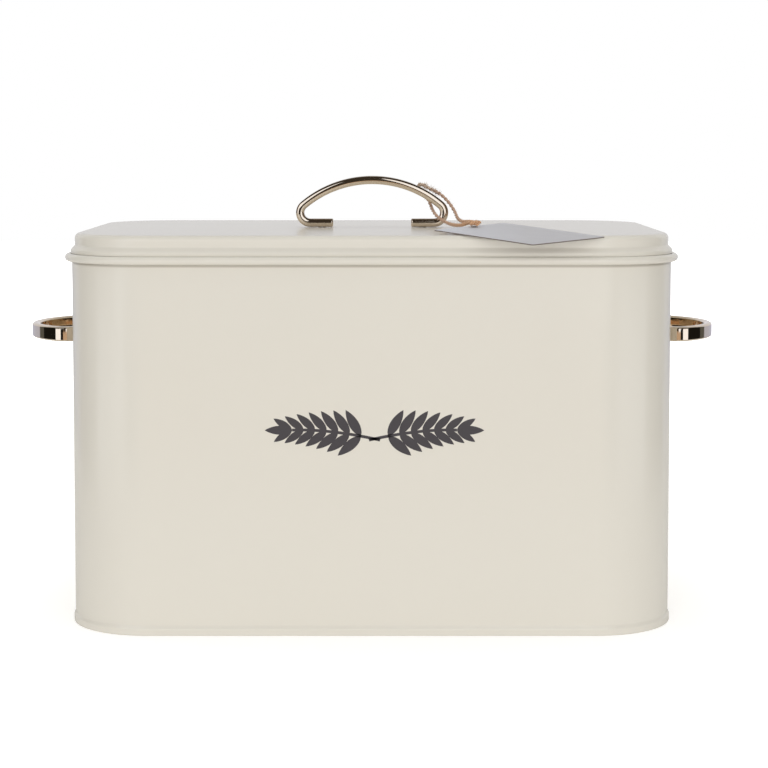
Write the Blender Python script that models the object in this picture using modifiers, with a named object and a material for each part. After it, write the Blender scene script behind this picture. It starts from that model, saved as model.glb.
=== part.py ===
"""Enamelled steel bread bin with a lift-off lid, bow handles and a blank swing tag.

Metres, +Z up. The bin stands on z = 0, centred on the origin. Its length runs along X and its depth along Y,
with the front at -Y. The lid lifts straight up along +Z.
"""

import math

import bmesh
import bpy
from mathutils import Matrix, Vector

# Driving dimensions of the bin
BODY_LENGTH = 0.3324  # over the wall's outer faces, along X
BODY_DEPTH = 0.2074  # over the wall's outer faces, along Y
RIM_HEIGHT = 0.2056  # floor to the top of the rolled rim
CORNER_RADIUS = 0.0445  # plan radius of the wall's outer face
SHEET = 0.0006  # steel sheet of the wall, the lid and the collar
RIM_ROLL = 0.0044  # outer diameter of the rolled rim
ROLL_SLOT = 0.0005  # left open between the roll's edge and the wall
GAP = 0.0003  # clearance between pieces that sit on each other

# Driving dimensions of the base
BASE_SHEET = 0.0005
BASE_RISE = 0.0040  # height of the base panel's underside
FOOT_FOLD_HEIGHT = 0.0034  # height of the fold outside the wall
FOLD_RADIUS = 0.0006  # rounding of the fold's corners

# Driving dimensions of the lid
LID_RISE = 0.0109  # lip's lower edge up to the flat top of the lid
LID_INSET = 0.0017  # from the body wall's outer face in to the lid wall's outer face
LID_EDGE_RADIUS = 0.0030  # rounding between the lid's top and its wall
LIP_OVERHANG = 0.0007  # from the body wall's outer face out to the lip's edge
LIP_FLARE = 0.0036  # height over which the lid's wall flares out to the lip
LIP_EDGE = 0.0012  # height of the lip's upright edge
COLLAR_REACH = 0.0090  # from the rim's top down to the collar's lower edge
COLLAR_DROP = 0.0036  # from the lid's flat top down to the collar's upper edge

# Driving dimensions of the flat-bar handles
BAR_WIDTH = 0.0086
BAR_THICKNESS = 0.0048
BAR_EDGE = 0.0012  # rounding of the bar's edges
BOW_END_RADIUS = 0.0083  # outer radius of the bend above each foot
FOOT_LENGTH = 0.0134  # straight stretch of each foot
LID_BOW_LENGTH = 0.0888
LID_BOW_HEIGHT = 0.0297
SIDE_BOW_LENGTH = 0.0800
SIDE_BOW_HEIGHT = 0.0322
SIDE_BOW_DROP = 0.0479  # rim's top down to the middle of the side handles

# Driving dimensions of the fasteners
SHANK_RADIUS = 0.0019
SHANK_GRIP = 0.0030  # how far a shank reaches into a foot
SCREW_HEAD_RADIUS = 0.0036
SCREW_HEAD_HEIGHT = 0.0022
SCREW_HEAD_ROUND = 0.0008
RECESS_LENGTH = 0.0040  # cross recess of a screw head
RECESS_WIDTH = 0.0009
RECESS_DEPTH = 0.0011
WASHER_RADIUS = 0.0050
WASHER_THICKNESS = 0.0008

# Driving dimensions of the swing tag and its twine
TAG_LENGTH = 0.0800
TAG_WIDTH = 0.0520
TAG_THICKNESS = 0.0006
TAG_CORNER_RADIUS = 0.0015
TAG_CENTRE_X = 0.0790
TAG_CENTRE_Y = -0.0965
TAG_TURN = math.radians(-51.6)  # about Z
TAG_TILT = math.radians(4.3)  # its rear end stands higher than its front end
TAG_HOLE_RADIUS = 0.0018
TAG_HOLE_INSET = 0.0045  # from the card's end to the hole's centre
TWINE_DIAMETER = 0.0018
KNOT_RADIUS = 0.0028
KNOT_HEIGHT_SHARE = 0.7  # height of the knot as a share of its width

# How finely round shapes are cut
CORNER_STEPS = 10
ROLL_STEPS = 10
EDGE_STEPS = 4
FLARE_STEPS = 4
FOLD_STEPS = 2
BOW_STEPS = 18
BEND_STEPS = 10
HEAD_STEPS = 3
SCREW_SIDES = 16
HOLE_SIDES = 16
KNOT_SIDES = 12
KNOT_RINGS = 8
BAR_EDGE_RESOLUTION = 1
TWINE_RESOLUTION = 2
TWINE_STEPS = 75
SMOOTH_ANGLE = math.radians(40)

CUT_OVERRUN = 0.002  # how far a cutter runs past the face it cuts
WELD_DISTANCE = 0.000001

# Sizes that follow from the driving ones
ROLL_RADIUS = RIM_ROLL / 2
LIP_SEAT = RIM_HEIGHT + GAP
LID_HEIGHT = LIP_SEAT + LID_RISE
BOW_SEAT = LID_HEIGHT + GAP
SIDE_BOW_SEAT = BODY_LENGTH / 2 + GAP
SIDE_BOW_LEVEL = RIM_HEIGHT - SIDE_BOW_DROP
SHANK_HOLE_RADIUS = SHANK_RADIUS + GAP

# The twine's way from its knot round the lid handle and back to the knot
TWINE_ROUTE = [
    (0.0572, -0.0654, 0.2224),
    (0.0559, -0.0560, 0.2223),
    (0.0545, -0.0430, 0.2219),
    (0.0528, -0.0300, 0.2213),
    (0.0511, -0.0180, 0.2213),
    (0.0494, -0.0095, 0.2227),
    (0.0483, -0.0045, 0.2255),
    (0.0462, -0.0015, 0.2292),
    (0.0434, 0.0005, 0.2327),
    (0.0402, 0.0020, 0.2357),
    (0.0367, 0.0030, 0.2379),
    (0.0331, 0.0032, 0.2395),
    (0.0298, 0.0038, 0.2414),
    (0.0274, 0.0056, 0.2412),
    (0.0277, 0.0064, 0.2387),
    (0.0300, 0.0064, 0.2357),
    (0.0328, 0.0064, 0.2327),
    (0.0342, 0.0042, 0.2296),
    (0.0352, 0.0002, 0.2270),
    (0.0368, -0.0040, 0.2244),
    (0.0392, -0.0072, 0.2221),
    (0.0422, -0.0120, 0.2204),
    (0.0454, -0.0210, 0.2194),
    (0.0483, -0.0330, 0.2194),
    (0.0509, -0.0450, 0.2201),
    (0.0532, -0.0570, 0.2215),
    (0.0551, -0.0658, 0.2222),
]


def clear_scene():
    for item in list(bpy.data.objects):
        bpy.data.objects.remove(item, do_unlink=True)


def new_collection(name):
    group = bpy.data.collections.new(name)
    bpy.context.scene.collection.children.link(group)
    return group


def new_material(name, color, roughness, metallic=0.0):
    material = bpy.data.materials.new(name)
    material.use_nodes = True
    shader = material.node_tree.nodes["Principled BSDF"]
    shader.inputs["Base Color"].default_value = (*color, 1.0)
    shader.inputs["Roughness"].default_value = roughness
    shader.inputs["Metallic"].default_value = metallic
    material.diffuse_color = (*color, 1.0)
    return material


clear_scene()
PARTS = new_collection("bread_bin")
CUTTERS = new_collection("cutters")

ENAMEL = new_material("cream_enamel", (0.73, 0.70, 0.62), 0.25)
BAR_METAL = new_material("champagne_metal", (0.72, 0.60, 0.48), 0.12, 1.0)
STEEL = new_material("zinc_plated_steel", (0.66, 0.66, 0.68), 0.35, 1.0)
CARD = new_material("grey_card", (0.55, 0.54, 0.57), 0.7)
JUTE = new_material("jute", (0.52, 0.30, 0.13), 0.9)


def new_part(name, data, material):
    """Put an object into the model; a mesh gets flat panels and smooth bends."""
    data.materials.append(material)
    if isinstance(data, bpy.types.Mesh):
        data.shade_smooth()
        data.set_sharp_from_angle(angle=SMOOTH_ANGLE)
    part = bpy.data.objects.new(name, data)
    PARTS.objects.link(part)
    return part


def mesh_part(name, form, material):
    mesh = bpy.data.meshes.new(name)
    form.to_mesh(mesh)
    form.free()
    return new_part(name, mesh, material)


def as_mesh(part, material):
    """Turn a curve object into a welded mesh object of the same name and place."""
    name = part.name
    evaluated = part.evaluated_get(bpy.context.evaluated_depsgraph_get())
    mesh = bpy.data.meshes.new_from_object(evaluated)
    place = part.matrix_world.copy()
    bpy.data.objects.remove(part, do_unlink=True)
    form = bmesh.new()
    form.from_mesh(mesh)
    bmesh.ops.remove_doubles(form, verts=form.verts, dist=WELD_DISTANCE)
    form.to_mesh(mesh)
    form.free()
    mesh.materials.clear()
    solid = new_part(name, mesh, material)
    solid.matrix_world = place
    return solid


def cut(part, cutter):
    """Take a cutter's shape out of a part."""
    PARTS.objects.unlink(cutter)
    CUTTERS.objects.link(cutter)
    cutter.hide_render = True
    cutter.display_type = "WIRE"
    boolean = part.modifiers.new(cutter.name, "BOOLEAN")
    boolean.operation = "DIFFERENCE"
    boolean.solver = "EXACT"
    boolean.object = cutter


def arc(centre, radius, start, end, steps):
    """Points on an arc from one angle to another, in degrees."""
    points = []
    for step in range(steps + 1):
        angle = math.radians(start + (end - start) * step / steps)
        points.append((centre[0] + radius * math.cos(angle), centre[1] + radius * math.sin(angle)))
    return points


def plan_outline(offset):
    """Plan of the body wall's outer face moved outwards by offset, counter-clockwise from the +X side."""
    reach_x = BODY_LENGTH / 2 - CORNER_RADIUS
    reach_y = BODY_DEPTH / 2 - CORNER_RADIUS
    points = []
    for corner, (side_x, side_y) in enumerate(((1, 1), (-1, 1), (-1, -1), (1, -1))):
        centre = (side_x * reach_x, side_y * reach_y)
        points += arc(centre, CORNER_RADIUS + offset, 90 * corner, 90 * (corner + 1), CORNER_STEPS)
    return points


def sheet_part(name, section, thickness, panel=None):
    """A part rolled or pressed from sheet, which lies behind the face that the section draws.

    The section is a list of (offset from the wall's outer face, height). A grid is wrapped round the bin's
    plan, one row for each point of the section. panel is the end of the section that a flat panel closes,
    "first" or "last".
    """
    sides = len(plan_outline(0))
    form = bmesh.new()
    bmesh.ops.create_grid(form, x_segments=sides, y_segments=len(section) - 1)
    form.verts.ensure_lookup_table()
    rows = [form.verts[row * (sides + 1) : (row + 1) * (sides + 1)] for row in range(len(section))]
    for row, (offset, height) in zip(rows, section):
        outline = plan_outline(offset)
        for vert, (x, y) in zip(row, outline + outline[:1]):
            vert.co = (x, y, height)
    bmesh.ops.weld_verts(form, targetmap={row[-1]: row[0] for row in rows})
    if panel == "first":
        form.faces.new(reversed(rows[0][:-1]))
    if panel == "last":
        form.faces.new(rows[-1][:-1])
    part = mesh_part(name, form, ENAMEL)
    solidify = part.modifiers.new("sheet", "SOLIDIFY")
    solidify.thickness = thickness
    solidify.offset = -1.0
    solidify.use_even_offset = True
    return part


def turned_part(name, profile, axis, seat, material):
    """A turned solid: the profile is a list of (radius, height along the axis), outer side top to bottom."""
    form = bmesh.new()
    verts = [form.verts.new((radius, 0.0, height)) for radius, height in profile]
    for above, below in zip(verts, verts[1:]):
        form.edges.new((above, below))
    if profile[0][0] > 0.0:
        form.edges.new((verts[-1], verts[0]))
    part = mesh_part(name, form, material)
    part.location = seat
    part.rotation_euler = Vector(axis).to_track_quat("Z", "Y").to_euler()
    screw = part.modifiers.new("turned", "SCREW")
    screw.axis = "Z"
    screw.steps = SCREW_SIDES
    screw.render_steps = SCREW_SIDES
    screw.use_merge_vertices = True
    screw.merge_threshold = WELD_DISTANCE
    return part


def rod_cutter(name, radius, axis, seat, back, front):
    """A round cutter along an axis, from back behind its seat to front ahead of it."""
    profile = [(0.0, front), (radius, front), (radius, -back), (0.0, -back)]
    return turned_part(name, profile, axis, seat, STEEL)


def make_body_wall():
    """The wrapped wall; its upper edge is rolled outwards into the rim."""
    roll_centre = (ROLL_RADIUS - SHEET, RIM_HEIGHT - ROLL_RADIUS)
    wall_side = ROLL_RADIUS - SHEET - ROLL_SLOT
    tip_angle = -math.degrees(math.acos(-wall_side / ROLL_RADIUS))
    section = arc(roll_centre, ROLL_RADIUS, tip_angle, 180, ROLL_STEPS)
    section.append((-SHEET, BASE_SHEET + GAP))
    return sheet_part("body_wall", section, SHEET)


def make_base_pan():
    """The pressed base: a raised panel whose edge turns down, under the wall and up round its outside."""
    inner = -(SHEET + GAP + BASE_SHEET)
    outer = GAP + BASE_SHEET
    section = [(inner, BASE_RISE)]
    section += arc((inner + FOLD_RADIUS, FOLD_RADIUS), FOLD_RADIUS, 180, 270, FOLD_STEPS)
    section += arc((outer - FOLD_RADIUS, FOLD_RADIUS), FOLD_RADIUS, 270, 360, FOLD_STEPS)
    section.append((outer, FOOT_FOLD_HEIGHT))
    return sheet_part("base_pan", section, BASE_SHEET, panel="first")


def make_lid_shell():
    """The stamped lid: lip, flared foot of the wall, wall, rounded edge and flat top."""
    lip = LIP_OVERHANG
    wall = -LID_INSET
    flare_foot = LIP_SEAT + LIP_EDGE
    section = [(lip, LIP_SEAT)]
    for step in range(FLARE_STEPS + 1):
        turn = math.pi * step / FLARE_STEPS
        across = (lip + wall) / 2 + (lip - wall) / 2 * math.cos(turn)
        section.append((across, flare_foot + LIP_FLARE * step / FLARE_STEPS))
    edge_centre = (wall - LID_EDGE_RADIUS, LID_HEIGHT - LID_EDGE_RADIUS)
    section += arc(edge_centre, LID_EDGE_RADIUS, 0, 90, EDGE_STEPS)
    return sheet_part("lid_shell", section, SHEET, panel="last")


def make_lid_collar():
    """The strip inside the lid's wall that keeps the lid centred in the mouth of the bin."""
    outer = -(LID_INSET + SHEET + GAP)
    section = [(outer, RIM_HEIGHT - COLLAR_REACH), (outer, LID_HEIGHT - COLLAR_DROP)]
    return sheet_part("lid_collar", section, SHEET)


def bow_outline(length, height):
    """Side view of a bow handle, drawn in by the rounding of its edges; its feet stand on y = 0.

    One arc makes the bow, and a tighter one at each end turns it in to a foot. The two arcs meet in line.
    """
    end_x = length / 2 - BOW_END_RADIUS
    rise = height - BOW_END_RADIUS
    bow_radius = (end_x**2 + rise**2 - BOW_END_RADIUS**2) / (2 * (rise - BOW_END_RADIUS))
    bow_centre = (0.0, height - bow_radius)
    meet = math.degrees(math.atan2(BOW_END_RADIUS - bow_centre[1], end_x))
    foot_tip = end_x - FOOT_LENGTH + BAR_EDGE
    sides = []
    for depth in (BAR_EDGE, BAR_THICKNESS - BAR_EDGE):
        side = [(foot_tip, depth)]
        side += arc((end_x, BOW_END_RADIUS), BOW_END_RADIUS - depth, -90, meet, BEND_STEPS)
        side += arc(bow_centre, bow_radius - depth, meet, 180 - meet, BOW_STEPS)[1:-1]
        side += arc((-end_x, BOW_END_RADIUS), BOW_END_RADIUS - depth, 180 - meet, 270, BEND_STEPS)
        side.append((-foot_tip, depth))
        sides.append(side)
    outer, inner = sides
    return outer + inner[::-1]


def screw_reach(length):
    """Distance from a bow's middle to the screw in each foot."""
    return length / 2 - BOW_END_RADIUS - FOOT_LENGTH / 2


def flat_curve(name, outlines, half_thickness, edge=0.0):
    """A flat piece: closed outlines in its own XY plane, with rounded edges."""
    curve = bpy.data.curves.new(name, "CURVE")
    curve.dimensions = "2D"
    curve.fill_mode = "BOTH"
    curve.extrude = half_thickness - edge
    curve.bevel_depth = edge
    curve.bevel_resolution = BAR_EDGE_RESOLUTION
    for outline in outlines:
        spline = curve.splines.new("POLY")
        spline.points.add(len(outline) - 1)
        for point, (x, y) in zip(spline.points, outline):
            point.co = (x, y, 0.0, 1.0)
        spline.use_cyclic_u = True
    return curve


def make_bow(name, length, height, place, along, outwards):
    """A bow handle whose feet stand at place; along and outwards are its own X and Y."""
    curve = flat_curve(name, [bow_outline(length, height)], BAR_WIDTH / 2, BAR_EDGE)
    bow = new_part(name, curve, BAR_METAL)
    axes = Matrix((along, outwards, along.cross(outwards))).transposed().to_4x4()
    bow.matrix_world = Matrix.Translation(place) @ axes
    bpy.context.view_layer.update()
    bow = as_mesh(bow, BAR_METAL)
    for side, reach in (("a", -screw_reach(length)), ("b", screw_reach(length))):
        seat = place + along * reach
        depth = SHANK_GRIP + GAP
        cut(bow, rod_cutter(f"{name}_hole_{side}", SHANK_HOLE_RADIUS, outwards, seat, CUT_OVERRUN, depth))
    return bow


def make_screw(name, foot, axis):
    """A pan-head screw through the sheet: foot is the point of its axis on the handle's foot."""
    head_top = -(GAP + SHEET + GAP + WASHER_THICKNESS + GAP)
    head_base = head_top - SCREW_HEAD_HEIGHT
    profile = [(0.0, SHANK_GRIP), (SHANK_RADIUS, SHANK_GRIP), (SHANK_RADIUS, head_top)]
    profile.append((SCREW_HEAD_RADIUS, head_top))
    round_centre = (SCREW_HEAD_RADIUS - SCREW_HEAD_ROUND, head_base + SCREW_HEAD_ROUND)
    profile += arc(round_centre, SCREW_HEAD_ROUND, 0, -90, HEAD_STEPS)
    profile.append((0.0, head_base))
    screw = turned_part(name, profile, axis, foot, STEEL)
    turn = screw.rotation_euler.to_matrix()
    for arm, size_x, size_y in (("x", RECESS_LENGTH, RECESS_WIDTH), ("y", RECESS_WIDTH, RECESS_LENGTH)):
        form = bmesh.new()
        bmesh.ops.create_cube(form, size=1.0)
        deep = RECESS_DEPTH + CUT_OVERRUN
        bmesh.ops.scale(form, vec=(size_x, size_y, deep), verts=form.verts)
        cutter = mesh_part(f"{name}_recess_{arm}", form, STEEL)
        cutter.location = foot + turn @ Vector((0.0, 0.0, head_base + RECESS_DEPTH - deep / 2))
        cutter.rotation_euler = screw.rotation_euler
        cut(screw, cutter)
    return screw


def make_washer(name, foot, axis):
    """A flat washer between a screw's head and the sheet."""
    top = -(GAP + SHEET + GAP)
    bottom = top - WASHER_THICKNESS
    profile = [(WASHER_RADIUS, top), (WASHER_RADIUS, bottom), (SHANK_HOLE_RADIUS, bottom)]
    profile.append((SHANK_HOLE_RADIUS, top))
    return turned_part(name, profile, axis, foot, STEEL)


def fasten(sheet, names, length, place, along, outwards):
    """Put a screw and a washer at both feet of a bow, and clear their holes in the sheet."""
    for (screw_name, washer_name), side in zip(names, (-1, 1)):
        foot = place + along * side * screw_reach(length)
        make_screw(screw_name, foot, outwards)
        make_washer(washer_name, foot, outwards)
        through = GAP + SHEET + CUT_OVERRUN
        cut(sheet, rod_cutter(screw_name + "_clearance", SHANK_HOLE_RADIUS, outwards, foot, through, 0.0))


def tag_frame():
    """Place of the tag's middle: its underside rests on the rounded front edge of the lid."""
    edge_y = -(BODY_DEPTH / 2 - LID_INSET - LID_EDGE_RADIUS)
    edge_z = LID_HEIGHT - LID_EDGE_RADIUS
    clear = LID_EDGE_RADIUS + GAP + TAG_THICKNESS / 2
    height = edge_z + (clear + (TAG_CENTRE_Y - edge_y) * math.sin(TAG_TILT)) / math.cos(TAG_TILT)
    place = Matrix.Translation((TAG_CENTRE_X, TAG_CENTRE_Y, height))
    return place @ Matrix.Rotation(TAG_TILT, 4, "X") @ Matrix.Rotation(TAG_TURN, 4, "Z")


def make_swing_tag():
    """A blank card with a punched hole at its rear end."""
    reach_x = TAG_LENGTH / 2 - TAG_CORNER_RADIUS
    reach_y = TAG_WIDTH / 2 - TAG_CORNER_RADIUS
    outline = []
    for corner, (side_x, side_y) in enumerate(((1, 1), (-1, 1), (-1, -1), (1, -1))):
        centre = (side_x * reach_x, side_y * reach_y)
        outline += arc(centre, TAG_CORNER_RADIUS, 90 * corner, 90 * (corner + 1), FOLD_STEPS)
    hole_centre = (TAG_HOLE_INSET - TAG_LENGTH / 2, 0.0)
    hole = arc(hole_centre, TAG_HOLE_RADIUS, 0, 360, HOLE_SIDES)[:-1]
    tag = new_part("swing_tag", flat_curve("swing_tag", [outline, hole], TAG_THICKNESS / 2), CARD)
    tag.matrix_world = tag_frame()
    return tag


def smooth_route(route, steps):
    """Evenly spaced points on a smooth curve through the route's points."""
    points = [Vector(point) for point in route]
    ends = [2 * points[0] - points[1]] + points + [2 * points[-1] - points[-2]]
    fine = []
    for before, start, end, after in zip(ends, ends[1:], ends[2:], ends[3:]):
        slope_in = (end - before) / 2
        slope_out = (after - start) / 2
        for step in range(steps):
            t = step / steps
            near = start * (2 * t**3 - 3 * t**2 + 1) + slope_in * (t**3 - 2 * t**2 + t)
            far = end * (3 * t**2 - 2 * t**3) + slope_out * (t**3 - t**2)
            fine.append(near + far)
    fine.append(points[-1])
    travelled = [0.0]
    for here, there in zip(fine, fine[1:]):
        travelled.append(travelled[-1] + (there - here).length)
    even = [fine[0]]
    index = 0
    for step in range(1, steps):
        wanted = travelled[-1] * step / steps
        while travelled[index + 1] < wanted:
            index += 1
        share = (wanted - travelled[index]) / (travelled[index + 1] - travelled[index])
        even.append(fine[index].lerp(fine[index + 1], share))
    even.append(fine[-1])
    return even


def make_tag_twine():
    """Jute twine from the knot, round the lid handle's right end and back to the knot."""
    curve = bpy.data.curves.new("tag_twine", "CURVE")
    curve.dimensions = "3D"
    curve.bevel_depth = TWINE_DIAMETER / 2
    curve.bevel_resolution = TWINE_RESOLUTION
    curve.use_fill_caps = True
    spline = curve.splines.new("POLY")
    route = smooth_route(TWINE_ROUTE, TWINE_STEPS)
    spline.points.add(len(route) - 1)
    for point, place in zip(spline.points, route):
        point.co = (*place, 1.0)
    return new_part("tag_twine", curve, JUTE)


def make_twine_knot():
    """The twine's knot, lying on the tag beside its hole."""
    form = bmesh.new()
    bmesh.ops.create_uvsphere(form, u_segments=KNOT_SIDES, v_segments=KNOT_RINGS, radius=KNOT_RADIUS)
    bmesh.ops.scale(form, vec=(1.0, 1.0, KNOT_HEIGHT_SHARE), verts=form.verts)
    knot = mesh_part("twine_knot", form, JUTE)
    lift = TAG_THICKNESS / 2 + GAP + KNOT_RADIUS * KNOT_HEIGHT_SHARE
    knot.matrix_world = tag_frame() @ Matrix.Translation((TAG_HOLE_INSET - TAG_LENGTH / 2, 0.0, lift))
    return knot


def hang_on_lid_axis():
    """Parent the lid's pieces to an empty on the line that the lid lifts along."""
    lid_axis = bpy.data.objects.new("lid_axis", None)
    PARTS.objects.link(lid_axis)
    for part in PARTS.objects:
        if part.name.startswith(("lid_", "swing_", "tag_", "twine_")) and part != lid_axis:
            part.parent = lid_axis


body_wall = make_body_wall()
make_base_pan()
lid_shell = make_lid_shell()
make_lid_collar()

up = Vector((0.0, 0.0, 1.0))
lid_seat = Vector((0.0, 0.0, BOW_SEAT))
lid_along = Vector((1.0, 0.0, 0.0))
make_bow("lid_handle", LID_BOW_LENGTH, LID_BOW_HEIGHT, lid_seat, lid_along, up)
lid_names = [(f"lid_screw_{end}", f"lid_washer_{end}") for end in ("left", "right")]
fasten(lid_shell, lid_names, LID_BOW_LENGTH, lid_seat, lid_along, up)

for side_name, side in (("left", -1), ("right", 1)):
    seat = Vector((side * SIDE_BOW_SEAT, 0.0, SIDE_BOW_LEVEL))
    along = Vector((0.0, 1.0, 0.0))
    outwards = Vector((side, 0.0, 0.0))
    make_bow(f"side_handle_{side_name}", SIDE_BOW_LENGTH, SIDE_BOW_HEIGHT, seat, along, outwards)
    ends = [f"{side_name}_{end}" for end in ("front", "rear")]
    names = [(f"side_screw_{end}", f"side_washer_{end}") for end in ends]
    fasten(body_wall, names, SIDE_BOW_LENGTH, seat, along, outwards)

make_swing_tag()
make_tag_twine()
make_twine_knot()
hang_on_lid_axis()
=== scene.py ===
"""Looks of an enamelled steel bread bin with a lift-off lid, bow handles and a blank swing tag."""

import math

import bmesh
import bpy
from mathutils import Matrix, Vector


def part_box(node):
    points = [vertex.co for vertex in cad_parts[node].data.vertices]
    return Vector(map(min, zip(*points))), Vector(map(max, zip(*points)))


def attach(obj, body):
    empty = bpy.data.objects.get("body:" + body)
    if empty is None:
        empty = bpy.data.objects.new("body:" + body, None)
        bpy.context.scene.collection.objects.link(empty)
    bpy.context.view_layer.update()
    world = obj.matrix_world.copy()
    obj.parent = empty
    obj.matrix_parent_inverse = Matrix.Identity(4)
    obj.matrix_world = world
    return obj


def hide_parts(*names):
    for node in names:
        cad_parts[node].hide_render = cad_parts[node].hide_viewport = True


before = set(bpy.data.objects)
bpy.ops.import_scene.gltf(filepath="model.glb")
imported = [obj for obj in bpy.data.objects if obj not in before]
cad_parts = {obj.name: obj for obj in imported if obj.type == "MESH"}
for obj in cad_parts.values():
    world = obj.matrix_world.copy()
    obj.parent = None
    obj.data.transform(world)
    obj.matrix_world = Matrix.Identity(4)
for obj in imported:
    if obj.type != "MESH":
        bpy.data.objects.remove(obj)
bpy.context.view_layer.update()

scene = bpy.context.scene
MM = 0.001

# ---- Camera ----
# A long lens 1.2 m in front of the bin, a little above its lid and looking slightly down. The picture is a crop
# from below the middle of the lens, so the lens is shifted down instead of turned further.
CAMERA_PLACE = (0.0069, -1.1818, 0.2699)
CAMERA_DIP = math.radians(4.2572)
LENS = 94.766
LENS_SHIFT = -0.1268

lens = bpy.data.cameras.new("camera")
lens.lens = LENS
lens.sensor_width = 36.0
lens.shift_y = LENS_SHIFT
lens.clip_start = 0.05
lens.clip_end = 50.0
camera = bpy.data.objects.new("camera", lens)
camera.location = CAMERA_PLACE
camera.rotation_euler = (math.radians(90.0) - CAMERA_DIP, 0.0, 0.0)
scene.collection.objects.link(camera)
scene.camera = camera
scene.view_settings.view_transform = "Standard"


# ---- Studio ----
# A pale table and a white surround. Large soft boxes light the bin evenly from the front, the top, the back and
# both sides, and dark, tinted and white cards, which only a gloss shows, draw the edges of the metal and the
# corners of the enamel.
class Wire:
    """A socket of a node tree. Each sign in an expression on it adds a Math node."""

    def __init__(self, tree, socket=None):
        self.tree = tree
        self.socket = socket

    def node(self, kind, sockets=(), output=0, **settings):
        """Add any node: its settings first, then the values or links of its sockets."""
        made = self.tree.nodes.new(kind)
        for name, value in settings.items():
            setattr(made, name, value)
        for name, value in dict(sockets).items():
            if isinstance(value, Wire):
                self.tree.links.new(value.socket, made.inputs[name])
            else:
                made.inputs[name].default_value = value
        return Wire(self.tree, made.outputs[output] if made.outputs else None)

    def out(self, name):
        """Another output of the same node."""
        return Wire(self.tree, self.socket.node.outputs[name])

    def maths(self, operation, *values, clamp=False):
        return self.node("ShaderNodeMath", dict(enumerate(values)), operation=operation, use_clamp=clamp)

    def __add__(self, other):
        return self.maths("ADD", self, other)

    def __radd__(self, other):
        return self.maths("ADD", other, self)

    def __sub__(self, other):
        return self.maths("SUBTRACT", self, other)

    def __rsub__(self, other):
        return self.maths("SUBTRACT", other, self)

    def __mul__(self, other):
        return self.maths("MULTIPLY", self, other)

    def __rmul__(self, other):
        return self.maths("MULTIPLY", other, self)

    def __truediv__(self, other):
        return self.maths("DIVIDE", self, other)

    def mix(self, mask, first, second):
        """A colour between two, by a mask."""
        return self.node("ShaderNodeMix", {0: mask, 6: first, 7: second}, output=2, data_type="RGBA")


def opaque(red, green, blue):
    return (red, green, blue, 1.0)


def new_finish(name):
    """An empty material and a wire to start its nodes from."""
    material = bpy.data.materials.new(name)
    material.use_nodes = True
    material.node_tree.nodes.clear()
    return material, Wire(material.node_tree)


def link_object(name, mesh, material=None):
    made = bpy.data.objects.new(name, mesh)
    scene.collection.objects.link(made)
    if material:
        mesh.materials.clear()
        mesh.materials.append(material)
    return made


SURROUND_GLOW = 0.50
TABLE_HALF = 4.0
TABLE_COLOUR = opaque(0.86, 0.85, 0.83)
TABLE_LIFT = 0.42
TABLE_FAR_LIFT = 0.7
TABLE_FAR_START = 0.30
TABLE_FAR_SLOPE = 2.0
TABLE_BOUNCE = 0.19
TABLE_BOUNCE_REACH = 0.42
TABLE_BOUNCE_SLOPE = 5.0
TABLE_GLOSS_SIDE = 0.62
TABLE_GLOSS_FRONT = -0.54

world = bpy.data.worlds.new("surround")
world.use_nodes = True
world.node_tree.nodes.clear()
scene.world = world
sky = Wire(world.node_tree)
light_path = sky.node("ShaderNodeLightPath")
seen = light_path.maths("MAXIMUM", light_path, light_path.out("Is Glossy Ray"))
seen = seen.maths("MAXIMUM", seen, light_path.out("Is Transmission Ray"))
glow = seen * (1.0 - SURROUND_GLOW) + SURROUND_GLOW
background = sky.node("ShaderNodeBackground", {"Color": opaque(1.0, 1.0, 1.0), "Strength": glow})
sky.node("ShaderNodeOutputWorld", {"Surface": background})

# The table glows a little for the camera, more so far out, and sends some light up to the bin near its foot. A
# gloss passes through it where the low cards stand.
table_finish, pen = new_finish("pale_table")
light_path = pen.node("ShaderNodeLightPath")
spot = pen.node("ShaderNodeSeparateXYZ", {"Vector": pen.node("ShaderNodeTexCoord").out("Object")})
away = pen.maths("SQRT", spot * spot + spot.out("Y") * spot.out("Y"))
far = pen.maths("MULTIPLY", away - TABLE_FAR_START, TABLE_FAR_SLOPE, clamp=True)
paint = pen.node("ShaderNodeBsdfDiffuse", {"Color": TABLE_COLOUR})
close = pen.maths("MULTIPLY", TABLE_BOUNCE_REACH - away, TABLE_BOUNCE_SLOPE, clamp=True)
bounce = close * light_path.out("Is Diffuse Ray") * TABLE_BOUNCE
lift = pen.node("ShaderNodeEmission", {"Strength": light_path * (TABLE_LIFT + far * TABLE_FAR_LIFT) + bounce})
near_table = pen.node("ShaderNodeAddShader", {0: paint, 1: lift})
aside = pen.maths("GREATER_THAN", pen.maths("ABSOLUTE", spot), TABLE_GLOSS_SIDE)
before = pen.maths("LESS_THAN", spot.out("Y"), TABLE_GLOSS_FRONT)
past_edge = pen.maths("MAXIMUM", aside, before) * light_path.out("Is Glossy Ray")
clear = pen.node("ShaderNodeBsdfTransparent")
table_shader = pen.node("ShaderNodeMixShader", {0: past_edge, 1: near_table, 2: clear})
pen.node("ShaderNodeOutputMaterial", {"Surface": table_shader})
form = bmesh.new()
bmesh.ops.create_grid(form, x_segments=2, y_segments=2, size=TABLE_HALF)
mesh = bpy.data.meshes.new("table")
form.to_mesh(mesh)
form.free()
table = link_object("table", mesh, table_finish)


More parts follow.
